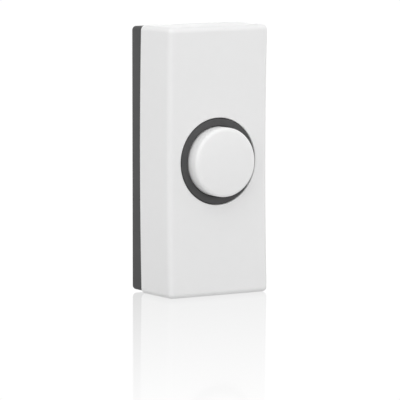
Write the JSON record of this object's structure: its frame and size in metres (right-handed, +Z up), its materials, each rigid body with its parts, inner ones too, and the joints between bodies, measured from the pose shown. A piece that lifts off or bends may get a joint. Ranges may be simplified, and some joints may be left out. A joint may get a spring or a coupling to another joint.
{
  "type": "wired bell push",
  "caption": "Tall slim wired bell push: a white clip-on cover over a dark back plate, with a round crowned button in a dark collar and a screw-terminal switch inside.",
  "frame": {"origin": "centre of the back plate's flat back face, on the wall", "axes": "+Z up along the height, +Y into the wall, so the button faces -Y; +X is to the right as one faces the button"},
  "size_m": [0.0344, 0.0269, 0.08],
  "materials": {
    "cover_plastic": "smooth satin white moulded plastic",
    "button_plastic": "smooth satin white moulded plastic",
    "plate_plastic": "fine matt dark grey moulded plastic",
    "guide_plastic": "matt dark grey moulded plastic",
    "plunger_plastic": "natural white moulded acetal",
    "spring_steel": "bright drawn spring wire",
    "contact_bronze": "rolled phosphor bronze strip",
    "contact_brass": "rolled brass",
    "contact_silver": "pressed silver contact",
    "washer_steel": "zinc plated steel",
    "screw_steel": "zinc plated steel, turned head"
  },
  "bodies": {
    "base": {"back_plate": "plate_plastic", "button_collar": "plate_plastic", "guide_plate": "guide_plastic", "return_spring": "spring_steel", "moving_contact": "contact_bronze", "fixed_contact": "contact_brass", "fixed_contact_rivet": "contact_silver", "terminal_insert_left": "contact_brass", "terminal_insert_right": "contact_brass", "terminal_washer_left": "washer_steel", "terminal_washer_right": "washer_steel", "collar_screw_upper": "screw_steel", "collar_screw_lower": "screw_steel"},
    "cover": {"front_cover": "cover_plastic"},
    "button": {"button_cap": "button_plastic", "button_plunger": "plunger_plastic"},
    "left_screw": {"terminal_screw_left": "screw_steel"},
    "right_screw": {"terminal_screw_right": "screw_steel"}
  },
  "joints": [
    {"name": "cover_lift", "type": "slide", "parent": "base", "child": "cover", "axis": [0, -1, 0], "range_m": [0, 0.03]},
    {"name": "button_press", "type": "slide", "parent": "base", "child": "button", "axis": [0, 1, 0], "range_m": [0, 0.002], "stiffness_N_per_m": 500, "springref_m": -0.003, "deforming": ["return_spring", "moving_contact"]},
    {"name": "left_screw_turn", "type": "hinge", "parent": "base", "child": "left_screw", "pos_m": [-0.0088, -0.0046, -0.02195], "axis": [0, -1, 0], "continuous": true},
    {"name": "right_screw_turn", "type": "hinge", "parent": "base", "child": "right_screw", "pos_m": [0.0088, -0.0046, -0.02195], "axis": [0, -1, 0], "continuous": true}
  ]
}
